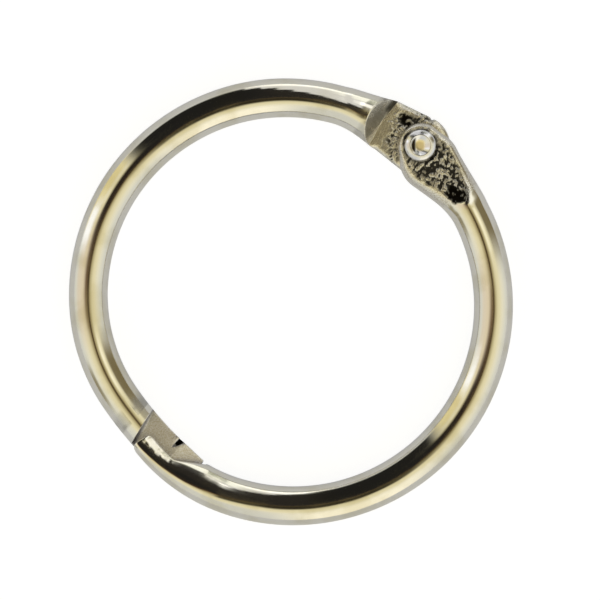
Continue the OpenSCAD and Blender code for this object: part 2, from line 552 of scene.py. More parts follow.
@dataclass
class LeftHalf:
    """The half with the rear hinge plate and the flat-floored tongue, in mm and degrees.

    Attributes:
        sizes: The ring's sizes.
        plate: Outline of its hinge plate.
        first_centre: Distance and direction of the first bend's centre from the ring's.
        bend_in: How much smaller each bend's radius is than the ring's.
        bend_to: Angle at which the first two bends end.
        eye_out: How far outside the middle line the plate's eye is centred.
        step_angle: Where the tongue's step stands on the third bend.
        step_slant: How far the step leans from square.
        step_round: Radius at the step's foot.
        tongue: Length of the tongue.
        notch_after: Distance from the step to the catch notch.
        notch_deep: Depth of the notch.
        notch_wide: Its width at the inner edge.
        tip_drop: How far the floor falls from the notch to the tip.
        nick_at: Centre of a nick in the plate's inner edge, in the hinge's frame.
        hollow_at: Centre of the hollow in the plate, in the hinge's frame.
        hollow_wide: The hollow's half widths.
        hollow_deep: Its depth.
        rays: Points round a section.
    """

    sizes: RingSizes
    plate: Plate = Plate(2.2, (2.2, 0.28), 1.95, (5.3, 1.02))
    first_centre: tuple[float, float] = (0.576, 132.0)
    bend_in: tuple[float, float, float] = (0.43, 1.55, -10.85)
    bend_to: tuple[float, float] = (180.4, 214.8)
    eye_out: float = 0.228
    step_angle: float = 220.3
    step_slant: float = 17.5
    step_round: float = 0.3
    tongue: float = 4.9
    notch_after: float = 2.477
    notch_deep: float = 0.24
    notch_wide: float = 0.4
    tip_drop: float = 0.45
    nick_at: tuple[float, float] = (0.54, -1.98)
    hollow_at: tuple[float, float] = (1.85, -0.77)
    hollow_wide: tuple[float, float] = (0.66, 0.46)
    hollow_deep: float = 0.07
    rays: int = 168

    def line(self) -> BarLine:
        """The half's middle line, from the rivet round to the tongue's tip."""
        radii = [self.sizes.mid_r - less for less in self.bend_in]
        tip = self.step_angle + math.degrees(self.tongue / radii[-1])
        bends = tuple(Bend(radius, to) for radius, to in zip(radii, (*self.bend_to, tip)))
        return self.sizes.line(on_circle(*self.first_centre), bends, 1)

    def build(self) -> bpy.types.Object:
        """Work out the half's skin and make its mesh.

        Returns:
            The finished object, without its material.
        """
        s, line = self.sizes, self.line()
        step = line.along_at(2, self.step_angle)
        end = line.length
        along = np.concatenate([
            eye_stations(-self.plate.eye_r + 1e-4, 0.0, 44)[:-1],
            stations((0.0, 5.2, 0.03), (5.2, 8.0, 0.1), (8.0, step - 1.0, 0.26), (step - 1.0, step - 0.12, 0.08),
                     (step - 0.12, step + 0.05, 0.01), (step + 0.05, step + 0.4, 0.02),
                     (step + 0.4, end - 0.15, 0.036), (end - 0.15, end - 1e-4, 0.01)),
        ])
        x, y, z, marked = sweep_grid(line, self.section(along, step), self.solid(line, step, end), self.rays)
        hx, hy = s.hinge_frame(x, y)
        pressed = smooth_step(marked, 4.4, 3.6)
        tongue = smooth_step(marked, step - 0.02, step + 0.02)
        floor = tongue * smooth_step(z, -0.7, -0.6) * smooth_step(marked, end - 0.02, end - 0.06)
        marks = {"pressed": pressed, "sheared": floor, "shade_and_film": self.shade_and_film(hx, hy, marked - step, z)}
        return grid_mesh("left_half_ring_bar", x, y, z + s.bar_r, swept_uv(marked, s.bar_r), marks)

    def shade_and_film(self, hx: Array, hy: Array, after: Array, z: Array) -> Array:
        """Painted shade and a dull film: shade painted into the plate's hollow and nick, on the leaning wall and along
        its foot, along the foot of the tongue's step and in the catch notch, and into the dents of the pressed face,
        over a patchy dull film there.

        Args:
            hx: X in the hinge's frame.
            hy: Y in the hinge's frame.
            after: Distance past the tongue's step.
            z: Height above the middle plane.

        Returns:
            The mark from 0 to 1.
        """
        # Painted shade: the plate's hollow is painted near black, lighter where its floor lumps rise.
        hollow = self.hollow(hx, hy) * (1 - 0.6 * smooth_step(lumps(hx, hy, 0.16, Seed.HOLLOW_FLOOR), 0.35, 0.7))
        # Painted shade in the dents: dark where the coarse and fine dents are deepest, over a patchy dull film on the
        # pressed face.
        coarse, fine = lumps(hx, hy, 0.18, Seed.DENTS_COARSE), lumps(hx, hy, 0.1, Seed.DENTS_FINE)
        speck = smooth_step(coarse + 0.8 * fine, 0.05, -0.4)
        film = 0.2 + 0.18 * lumps(hx, hy, 0.35, Seed.LEFT_FILM)
        speck = np.maximum(speck * 0.95, film) * self.peened(hx, hy)
        # Painted shade in the nick.
        nick = self.nick(hx, hy, 0.13)
        # Painted shade along the foot of the leaning wall, darker towards its outer side.
        past_foot = smooth_step(hx, 3.08, 3.14)
        foot = smooth_step(hy, 0.3, -0.7) * past_foot * smooth_step(hx, 3.75, 3.3) * 0.9
        # Painted shade on the leaning wall below the bar's top, patchy.
        on_wall = past_foot * smooth_step(hx, 4.3, 3.9) * (z < 1.3)
        wall_shade = on_wall * (0.22 + 0.2 * smooth_step(lumps(hx, hy, 0.3, Seed.WALL_SHADE), -0.3, 0.5))
        # Painted shade in the catch notch, for its steep face, broken up by lumps.
        past = after - self.notch_after
        notch = smooth_step(past, -0.06, 0.0) * smooth_step(past, 0.62, 0.3) * smooth_step(z, -0.04, -0.08)
        notch = notch * (1 - 0.5 * smooth_step(lumps(hx, hy, 0.17, Seed.NOTCH_SHADE), 0.1, 0.5))
        # Painted shade: a half-dark strip along the foot of the tongue's step.
        strip = 0.5 * smooth_step(after, -0.02, 0.02) * smooth_step(after, 0.42, 0.1) * smooth_step(z, 0.6, 0.0)
        on_top = smooth_step(z, -0.6, -0.4)
        return np.clip(np.maximum.reduce([hollow, speck, nick, foot, wall_shade, notch, strip]) * on_top, 0, 1)

    def nick(self, hx: Array, hy: Array, wide: float) -> Array:
        """The nick in the plate's inner edge: exp(-(distance / width)^2)."""
        return np.exp(-((hx - self.nick_at[0]) ** 2 + (hy - self.nick_at[1]) ** 2) / wide**2)

    def peened(self, hx: Array, hy: Array) -> Array:
        """Mask of the plate round the rivet that the press roughened, with a wandering edge."""
        away = np.hypot(hx, hy) + 0.35 * lumps(hx, hy, 0.7, Seed.PEENED_EDGE)
        return smooth_step(away, 2.75, 2.2) * smooth_step(hx, 0.2, 0.9)

    def hollow(self, hx: Array, hy: Array) -> Array:
        """Mask of the hollow that the press left in the plate: an oval with a ragged edge."""
        away = oval(hx, hy, self.hollow_at, self.hollow_wide)
        return smooth_step(away + 0.22 * lumps(hx, hy, 0.3, Seed.HOLLOW_EDGE), 1.1, 0.7)

    def section(self, along: Array, step: float) -> Section:
        """Centres, proportions and slants of the sections.

        Args:
            along: The stations.
            step: Where the tongue's step stands.

        Returns:
            The sections.
        """
        at_plate = smooth_step(along, 6.0, 3.6)
        at_tongue = smooth_step(along, step - 1.0, step - 0.15)
        up = -0.68 * at_plate - 0.62 * at_tongue
        out = self.eye_out * smooth_step(along, 3.0, 0.0)
        wide = np.interp(along, [-2.2, 0.0, 2.2, 5.0], [2.0, 2.2, 2.0, 1.35])
        high = 1.35 - 0.7 * smooth_step(along, 4.4, 3.0) - 0.6 * smooth_step(along, step - 0.3, step + 0.3)
        slant = self.step_slant * smooth_step(along, step - 1.6, step - 0.2)
        slant = slant * smooth_step(along, step + 2.2, step + 0.5)
        return Section(along, out, up, wide, high, slant)

    def solid(self, line: BarLine, step: float, end: float) -> Solid:
        """The half's field: its spread outline given a round edge, cut by its faces.

        Args:
            line: The middle line.
            step: Where the tongue's step stands.
            end: Where the tongue ends.

        Returns:
            The field of (along, out, up).
        """
        s = self.sizes

        def field_at(along: Array, out: Array, up: Array) -> Array:
            """The field at each point.

            Args:
                along: Distance along the bar.
                out: Distance outward.
                up: Height above the middle plane.

            Returns:
                The field, negative inside.
            """
            hx, hy = s.hinge_frame(*line.place(along, out))
            plan = self.plate.spread(np.maximum(np.abs(out) - s.bar_r, -along), along, hx, hy)
            edge = s.bar_r + 0.55 * smooth_step(along, 5.0, 2.6)
            body = rounded(plan, edge, up, s.bar_r) + waver(along, out, up)
            top = self.top(along, out, step, hx, hy)
            base = np.interp(along, [s.ramp_from, s.ramp_to + 0.6], [-s.face, -s.bar_r - 0.19])
            whole = soft_max(body, up - top, 0.05 + 0.4 * smooth_step(along, 3.1, 2.4))
            whole = soft_max(whole, base - up, 0.06)
            return soft_max(whole, along - end, 0.12)

        return field_at

    def top(self, along: Array, out: Array, step: float, hx: Array, hy: Array) -> Array:
        """Height of what bounds the half from above, at each point.

        Args:
            along: Distance along the bar.
            out: Distance outward.
            step: Where the tongue's step stands.
            hx: X in the hinge's frame.
            hy: Y in the hinge's frame.

        Returns:
            The height above the ring's middle plane.
        """
        s = self.sizes
        wall = np.interp(along, [s.wall_from, s.wall_to, s.wall_to + 1.0], [-s.lap, s.bar_r, CLEAR])
        after = along - step
        reach = self.step_round * np.interp(out, [-1.3, -0.2, 0.5], [0.55, 1.25, 1.25])
        foot = reach - np.sqrt(np.clip(reach**2 - (reach - np.clip(after, 0, reach)) ** 2, 0, None))
        floor = -s.lap + foot
        dents = 0.035 * (lumps(hx, hy, 0.18, Seed.DENTS_COARSE) - 0.6) + 0.02 * lumps(hx, hy, 0.1, Seed.DENTS_FINE)
        hollow = self.hollow(hx, hy)
        plate = dents * self.peened(hx, hy) - self.hollow_deep * hollow
        plate = plate + 0.03 * lumps(hx, hy, 0.16, Seed.HOLLOW_FLOOR) * hollow
        plate = plate - 0.3 * self.nick(hx, hy, 0.11)
        wall = wall + np.where(along < s.wall_from + 0.4, plate, 0.0)
        past = after - self.notch_after
        inner = np.clip((-0.45 - out) / (s.bar_r - 0.45), 0, 1)
        wide = np.maximum(self.notch_wide * 1.5 * inner * (1 + 0.25 * lumps(hx, hy, 0.2, Seed.NOTCH_EDGE)), 0.02)
        notch = smooth_step(past, -0.03, 0.03) * np.clip(1 - past / wide, 0, 1)
        notch = notch * self.notch_deep * 1.25 * smooth_step(inner, 0.0, 0.5)
        notch = notch - 0.05 * np.exp(-(((past + 0.16) / 0.12) ** 2)) * smooth_step(out, -0.7, -1.1)
        sloping = self.tongue - self.notch_after - self.notch_wide
        fall = np.clip(past - self.notch_wide, 0, None) / sloping * self.tip_drop
        tongue = floor - notch - fall
        return np.where(after > 0, tongue, wall)


@dataclass
class RightHalf:
    """The half with the front hinge plate and the finger that closes over the tongue, in mm and degrees.

    Attributes:
        sizes: The ring's sizes.
        plate: Outline of its hinge plate.
        first_centre: Distance and direction of the first bend's centre from the ring's.
        bend_in: How much smaller each bend's radius is than the ring's.
        bend_to: Angle at which the first bend ends.
        eye_out: How far outside the middle line the plate's eye is centred.
        finger_in: How far inside the middle line the finger's inner side stands.
        facet_in: How far inside it the facet's own outline would end.
        finger_flare: Angle of the flare that narrows the bar to the finger.
        finger_round: Radius of the tip's corners.
        finger_crown: How far outward the crown stands at the tip.
        finger_drop: How far the crown sinks by the tip.
        finger_lean: How far the tip leans back from its foot to its top.
        turning_before: Distance before the shoulder at which the crown starts to move.
        groove_r: Radius of the shallow ring pressed round the rivet.
        scoop_at: Centre of the scoop in the plate's end, in the hinge's frame.
        scoop_wide: The scoop's half widths.
        scoop_deep: Its depth.
        finger_tip_angle: Where the finger ends.
        shoulder_angle: Where the tongue's tip closes against the full bar.
        shoulder_slant: How far that shoulder leans from square.
        rays: Points round a section.
    """

    sizes: RingSizes
    plate: Plate = Plate(1.62, (-1.2, 0.4), 2.07, (-4.9, 1.05))
    first_centre: tuple[float, float] = (0.3275, -65.0)
    bend_in: tuple[float, float] = (0.24, 2.25)
    bend_to: float = 252.9
    eye_out: float = 0.254
    finger_in: float = 0.25
    facet_in: float = 0.47
    finger_flare: float = 28.0
    finger_round: float = 0.45
    finger_crown: float = 0.85
    finger_drop: float = 0.5
    finger_lean: float = 0.35
    turning_before: float = 4.8
    groove_r: float = 1.17
    scoop_at: tuple[float, float] = (-4.05, 1.05)
    scoop_wide: tuple[float, float] = (0.76, 0.56)
    scoop_deep: float = 0.14
    finger_tip_angle: float = 215.5
    shoulder_angle: float = 238.15
    shoulder_slant: float = 6.9
    rays: int = 168

    def line(self) -> BarLine:
        """The half's middle line, from the rivet round to the finger's tip."""
        ends = (self.bend_to - 360, self.finger_tip_angle - 360)
        bends = tuple(Bend(self.sizes.mid_r - less, to) for less, to in zip(self.bend_in, ends))
        return self.sizes.line(on_circle(*self.first_centre), bends, -1)

    def build(self) -> bpy.types.Object:
        """Work out the half's skin and make its mesh.

        Returns:
            The finished object, without its material.
        """
        s, line = self.sizes, self.line()
        shoulder = line.along_at(1, self.shoulder_angle - 360)
        end = line.length
        along = np.concatenate([
            eye_stations(-self.plate.eye_r + 1e-4, 0.0, 40)[:-1],
            stations((0.0, 5.2, 0.03), (5.2, 8.0, 0.1), (8.0, shoulder - 1.0, 0.26),
                     (shoulder - 1.0, shoulder - 0.06, 0.05), (shoulder - 0.06, shoulder + 0.06, 0.008),
                     (shoulder + 0.06, end - 0.6, 0.04), (end - 0.6, end - 0.1, 0.02), (end - 0.1, end - 1e-3, 0.006)),
        ])
        section, solid = self.section(along, shoulder, end), self.solid(line, shoulder, end)
        x, y, z, marked = sweep_grid(line, section, solid, self.rays)
        pressed = smooth_step(marked, 4.9, 4.2)
        sheared = smooth_step(marked, shoulder - 0.02, shoulder + 0.02) * smooth_step(z, 0.2, 0.1)
        marks = {"pressed": pressed, "sheared": sheared, "shade_and_film": self.shade_and_film(*s.hinge_frame(x, y), marked, z, pressed)}
        return grid_mesh("right_half_ring_bar", x, y, z + s.bar_r, swept_uv(marked, s.bar_r), marks)

    def shade_and_film(self, hx: Array, hy: Array, along: Array, z: Array, pressed: Array) -> Array:
        """Painted shade and a dull film: shade painted into the dents of the hammered face, into its scoop and into the
        ring round the rivet, over a patchy dull film.

        Args:
            hx: X in the hinge's frame.
            hy: Y in the hinge's frame.
            along: Distance along the bar.
            z: Height above the middle plane.
            pressed: The mark of the pressed metal.

        Returns:
            The mark from 0 to 1.
        """
        on_top = smooth_step(z, 0.4, 0.5)
        on_face = self.roughened(hx, hy, along) * on_top
        # Painted shade in the dents: dark where the hammered face is lowest, over a patchy dull film.
        coarse, fine = self.hammered(hx, hy)
        speckle = coarse + 0.8 * fine + 0.4 * lumps(hx, hy, 0.8, Seed.FACE_BROAD)
        film = 0.24 + 0.22 * lumps(hx, hy, 0.35, Seed.RIGHT_FILM)
        pits = np.maximum(smooth_step(speckle, 0.25, -0.2), film) * pressed
        # Painted shade in the pressed ring round the rivet's head.
        seat = smooth_step(np.abs(np.hypot(hx, hy) - self.groove_r), 0.11, 0.03)
        # Painted shade: the scoop at the plate's end is painted near black, lighter on the raised lumps.
        scoop = smooth_step(self.from_scoop(hx, hy) + 0.2 * lumps(hx, hy, 0.2, Seed.SCOOP_EDGE), 1.12, 0.85) * on_top
        scoop = scoop * (1 - 0.3 * smooth_step(speckle, 0.3, 0.9))
        return np.clip(np.maximum.reduce([pits * 0.96 * on_face, scoop, seat * 0.9 * on_face]), 0, 1)

    def hammered(self, hx: Array, hy: Array) -> tuple[Array, Array]:
        """Coarse and fine lumps of the hammered face, from -1 to 1."""
        return lumps(hx, hy, 0.18, Seed.FACE_COARSE), lumps(hx + 0.3 * hy, hy, 0.1, Seed.FACE_FINE)

    def from_scoop(self, hx: Array, hy: Array) -> Array:
        """Distance from the scoop's middle, as a share of its oval's half widths."""
        return oval(hx, hy, self.scoop_at, self.scoop_wide)

    def edge(self, hx: Array, hy: Array, along: Array) -> Array:
        """How far in the plate's rounded flank reaches.

        It is the bar's radius, and more towards the scoop and on the inner side.

        Args:
            hx: X in the hinge's frame.
            hy: Y in the hinge's frame.
            along: Distance along the bar.

        Returns:
            The reach, in mm.
        """
        outer = 0.1 + 0.7 * smooth_step(hx, -2.6, -4.2)
        inner = 0.8 + 0.9 * smooth_step(hx, -1.2, -3.8)
        wider = outer + (inner - outer) * smooth_step(hy, 0.1, 0.9)
        return self.sizes.bar_r + wider * smooth_step(along, 5.6, 3.4) * smooth_step(along, -0.6, 0.8)

    def roughened(self, hx: Array, hy: Array, along: Array) -> Array:
        """Mask of the hammered part of the face, which fades out 0.2 to 0.08 mm short of the flanks.

        Args:
            hx: X in the hinge's frame.
            hy: Y in the hinge's frame.
            along: Distance along the bar.

        Returns:
            The mask from 0 to 1.
        """
        height = self.sizes.face / self.sizes.bar_r
        inside = -self.plate.distance(hx, hy) - (1 - math.sqrt(1 - height**2)) * self.edge(hx, hy, along)
        return smooth_step(inside + 0.08 * lumps(hx, hy, 0.3, Seed.FACE_EDGE), 0.08, 0.2)

    def section(self, along: Array, shoulder: float, end: float) -> Section:
        """Centres, proportions and slants of the sections.

        Args:
            along: The stations.
            shoulder: Where the full bar ends.
            end: Where the finger ends.

        Returns:
            The sections.
        """
        at_plate = smooth_step(along, 6.0, 3.6)
        at_finger = smooth_step(along, shoulder - 1.2, shoulder - 0.1)
        near_tip = smooth_step(along, end - 0.7, end)
        up = 0.2 * at_plate + 0.55 * at_finger + 0.25 * near_tip
        out = self.eye_out * smooth_step(along, 3.0, 0.0) + 0.42 * at_finger
        wide = np.interp(along, [-1.62, 0.0, 1.2, 5.0], [1.6, 1.9, 2.0, 1.35]) - 0.5 * at_finger
        high = 1.35 - 0.7 * smooth_step(along, 4.4, 3.0) - 0.6 * at_finger
        slant = self.shoulder_slant * smooth_step(along, shoulder - 1.0, shoulder - 0.1)
        slant = slant * smooth_step(along, shoulder + 1.2, shoulder + 0.1)
        return Section(along, out, up, wide, high, slant)

    def solid(self, line: BarLine, shoulder: float, end: float) -> Solid:
        """The half's field: its spread outline given a round edge, cut by its faces.

        Args:
            line: The middle line.
            shoulder: Where the full bar ends.
            end: Where the finger ends.

        Returns:
            The field of (along, out, up).
        """
        s = self.sizes

        def field_at(along: Array, out: Array, up: Array) -> Array:
            """The field at each point.

            Args:
                along: Distance along the bar.
                out: Distance outward.
                up: Height above the middle plane.

            Returns:
                The field, negative inside.
            """
            hx, hy = s.hinge_frame(*line.place(along, out))
            plan = self.plate.spread(np.maximum(np.abs(out) - s.bar_r, -along), along, hx, hy)
            body = rounded(plan, self.edge(hx, hy, along), up, s.bar_r)
            body = self.crowned(body, along, out, up, shoulder, end) + waver(along, out, up)
            whole = soft_max(body, up - self.face(along, hx, hy), 0.2)
            whole = soft_max(whole, self.under(along, shoulder) - up, 0.05)
            return self.finger(whole, along, out, up, shoulder, end)

        return field_at

    def crowned(self, bar: Array, along: Array, out: Array, up: Array, shoulder: float, end: float) -> Array:
        """The upper half of the bar as it turns into the finger.

        The section becomes two quarter ovals, (x^n + z^n)^(1/n), that meet on the
        finger's crown. The crown moves outward and sinks on the way to the tip, and
        n grows from 2 on its inner side, so that a flatter facet forms there. The
        inner oval ends past the finger's side, which cuts the facet off.

        Args:
            bar: The plain bar's field.
            along: Distance along the bar.
            out: Distance outward.
            up: Height above the middle plane.
            shoulder: Where the full bar ends.
            end: Where the finger ends.

        Returns:
            The field, changed above the middle plane only.
        """
        s = self.sizes
        turning = (along - shoulder + self.turning_before) / (end - 0.5 - shoulder + self.turning_before)
        crown = self.finger_crown * np.clip(turning, 0, 1) ** 1.15
        inner = s.bar_r - (s.bar_r - self.facet_in) * smooth_step(along, shoulder - 0.6, shoulder + 3.4)
        high = s.bar_r - self.finger_drop * np.clip((along - shoulder + 1.8) / (end - shoulder + 1.8), 0, None) ** 1.3
        reach = np.where(out > crown, s.bar_r - crown, inner + crown)
        flat = smooth_step(along, shoulder - self.turning_before, shoulder + 0.5)
        power = 2 + 0.25 * flat * smooth_step(out, crown + 0.2, crown - 0.2)
        finger = ((np.abs(out - crown) / reach) ** power + np.clip(up / high, 0, None) ** power) ** (1 / power)
        finger = (finger - 1) * high
        dressed = smooth_step(along, shoulder + 1.6, shoulder + 2.4) * smooth_step(out, crown - 0.3, crown - 0.5)
        finger = finger + 0.0045 * (1 + lumps(along, out, 0.2, Seed.DRESSING)) * dressed
        return np.where((up > 0) & (along > shoulder - self.turning_before), finger, bar)

    def face(self, along: Array, hx: Array, hy: Array) -> Array:
        """Height of the hammered plate face, which is scooped up to the bar's crown at its end.

        The face rises as the 1.7th power of the distance along its end. A shallow ring
        is pressed round the rivet.

        Args:
            along: Distance along the bar.
            hx: X in the hinge's frame.
            hy: Y in the hinge's frame.

        Returns:
            The height above the ring's middle plane.
        """
        s = self.sizes
        into = np.clip((along - s.ramp_from + 0.15) / (s.ramp_to - s.ramp_from + 0.2), 0, None)
        level = s.face + (s.bar_r - s.face) * into**1.7
        coarse, fine = self.hammered(hx, hy)
        rough = 0.045 * coarse + 0.03 * fine - 0.035
        ring = np.exp(-(((np.hypot(hx, hy) - self.groove_r) / 0.07) ** 2))
        level = level - self.scoop_deep * smooth_step(self.from_scoop(hx, hy), 1.1, 0.6)
        return level + rough * smooth_step(along, 4.6, 4.2) * self.roughened(hx, hy, along) - 0.12 * ring

    def under(self, along: Array, shoulder: float) -> Array:
        """Height of what bounds the half from below: lap face, leaning wall, then the finger's underside.

        Args:
            along: Distance along the bar.
            shoulder: Where the full bar ends.

        Returns:
            The height above the ring's middle plane.
        """
        s = self.sizes
        wall = np.interp(along, [s.wall_from, s.wall_to, s.wall_to + 1.0], [s.lap, -s.bar_r, -CLEAR])
        return np.where(along > shoulder, s.lap, wall)

    def finger(self, whole: Array, along: Array, out: Array, up: Array, shoulder: float, end: float) -> Array:
        """Cut the finger's inner side and round its tip.

        Args:
            whole: The field so far.
            along: Distance along the bar.
            out: Distance outward.
            up: Height above the middle plane.
            shoulder: Where the full bar ends.
            end: Where the finger ends.

        Returns:
            The field with the finger's cuts.
        """
        s = self.sizes
        slope = math.tan(math.radians(self.finger_flare))
        slant_end = shoulder - 0.13
        side = -s.bar_r + slope * (along - slant_end)
        inner = np.minimum(side, -self.finger_in)
        cut = (inner - out) * math.cos(math.radians(self.finger_flare))
        whole = np.where(along > slant_end - 0.3, soft_max(whole, cut, 0.08), whole)
        to_tip = end - along - self.finger_lean * (1 - np.clip(up, 0, None) / s.bar_r)
        r = self.finger_round
        pull = r - np.sqrt(np.clip(r * r - (r - np.clip(to_tip, 0, r)) ** 2, 0, None))
        corners = np.maximum(-self.finger_in + pull - out, out - s.bar_r + pull)
        whole = np.where(to_tip < r, np.maximum(whole, corners), whole)
        return np.where(to_tip < 1.2, soft_max(whole, -to_tip, 0.16), whole)


# --- The rivet ---------------------------------------------------------------


@dataclass
class Rivet:
    """Solid rivet with a plain rear head and a domed front head, whose punched cup is deeper on one side.

    Attributes:
        sizes: The ring's sizes.
        shank_r: Radius of the shank.
        head_r: Radius of both heads.
        head_high: Height of both heads.
        head_gap: Gap under the front head.
        edge_high: Height of the front head's rim.
        crest_r: Radius at which the dome ends.
        cup_r: Radius of the cup's lip.
        cup_floor_r: Radius of the cup's floor.
        cup_deep: Depth of the cup.
        cup_lean: How much deeper it is on its deeper side, at the lip.
        cup_leans_to: Direction of that side, in degrees.
        edge: Rounding of the rear head.
        turns: Points round the rivet.
        rear_rows: Rows across the rear head.
        lip_rows: Rows across the lip.
        cup_rows: Rows down the cup.
    """

    sizes: RingSizes
    shank_r: float = 0.6
    head_r: float = 1.08
    head_high: float = 0.42
    head_gap: float = 0.03
    edge_high: float = 0.12
    crest_r: float = 0.72
    cup_r: float = 0.7
    cup_floor_r: float = 0.2
    cup_deep: float = 0.24
    cup_lean: float = 0.14
    cup_leans_to: float = 196.0
    edge: float = 0.09
    turns: int = 144
    rear_rows: int = 12
    lip_rows: int = 4
    cup_rows: int = 33

    def build(self) -> bpy.types.Object:
        """Turn the outside about the hinge's axis, and press the leaning cup into it.

        Outside the cup each row is a circle of the profile's radius and height. In
        the cup the height is crest - (deep + lean * distance along the lean) * s,
        where s rises as a quarter sine wave from the lip to the floor.

        Returns:
            The finished object, without its material.
        """
        s = self.sizes
        back, seat = -s.face - self.head_high, s.face + self.head_gap
        crest = seat + self.head_high
        quarter = np.linspace(0, math.pi / 2, 16)
        swell = quarter * 0.72
        rise = (np.cos(swell) - np.cos(swell[-1])) / (1 - np.cos(swell[-1]))
        dome_z = seat + self.edge_high + (self.head_high - self.edge_high) * np.sin(swell) / np.sin(swell[-1])
        radius = np.concatenate([
            np.linspace(0.02, self.head_r - self.edge, self.rear_rows),
            self.head_r - self.edge + self.edge * np.sin(quarter[1:]),
            [self.head_r, self.shank_r, self.shank_r, self.head_r],
            self.crest_r + (self.head_r - self.crest_r) * rise,
            np.linspace(self.crest_r, self.cup_r, self.lip_rows + 1)[1:],
            np.linspace(self.cup_r, 0.015, self.cup_rows + 1)[1:],
        ])[:, None]
        height = np.concatenate([
            np.full(self.rear_rows, back),
            back + self.edge - self.edge * np.cos(quarter[1:]),
            [-s.face, -s.face, seat, seat],
            dome_z,
            np.full(self.lip_rows + self.cup_rows, crest),
        ])[:, None]
        angle = np.linspace(0, 2 * math.pi, self.turns, endpoint=False)[None, :]
        in_cup = (np.arange(len(radius)) >= len(radius) - self.cup_rows)[:, None]
        sunk = np.sin(np.pi / 2 * np.clip((self.cup_r - radius) / (self.cup_r - self.cup_floor_r), 0, 1))
        lean = self.cup_lean * radius / self.cup_r * np.cos(angle - math.radians(self.cup_leans_to))
        z = height - np.where(in_cup, sunk * (self.cup_deep + lean), 0.0)
        x = s.rivet[0] + radius * np.cos(angle)
        y = s.rivet[1] + radius * np.sin(angle)
        run = np.cumsum(np.hypot(np.diff(radius[:, 0], prepend=radius[0]), np.diff(height[:, 0], prepend=height[0])))
        uv = (np.broadcast_to(run[:, None], x.shape), np.broadcast_to(angle, x.shape))
        # Painted light in the cup: its left side is painted dark as shade, and its middle, short of the right side, is
        # painted gold as a reflection.
        left = smooth_step(-radius * np.cos(angle), 0.24, 0.42)
        painted_cup_shade = np.where(in_cup, left * smooth_step(radius, 0.66, 0.56), 0.0)
        painted_cup_gold = np.where(in_cup, smooth_step(radius, 0.5, 0.3), 0.0) * (1 - left)
        painted_cup_gold = painted_cup_gold * smooth_step(radius * np.cos(angle), 0.4, 0.15)
        return grid_mesh("hinge_rivet_turned", x, y, z + s.bar_r, uv, {"shade_and_film": painted_cup_shade, "warm": painted_cup_gold})


# --- Finishes ----------------------------------------------------------------


def empty_material(name: str) -> tuple[bpy.types.Material, bpy.types.NodeTree]:
    """Make a material with no nodes in it yet.

    Args:
        name: Its name.

    Returns:
        The material and its empty node tree.
    """
    material = bpy.data.materials.new(name)
    material.use_nodes = True
    material.node_tree.nodes.clear()
    return material, material.node_tree


def finish_metal(tree: bpy.types.NodeTree, colour: bpy.types.NodeSocket, rough: bpy.types.NodeSocket,
                 normal: bpy.types.NodeSocket) -> None:
    """End a metal's node tree in its shader.

    Args:
        tree: The material's node tree.
        colour: Its colour.
        rough: Its roughness.
        normal: Its bumped normal.
    """
    shader = add_node(tree, "ShaderNodeBsdfPrincipled", {"Metallic": 1.0, "Base Color": colour, "Roughness": rough,
                                                         "Normal": normal})
    add_node(tree, "ShaderNodeOutputMaterial", {"Surface": shader.outputs[0]})


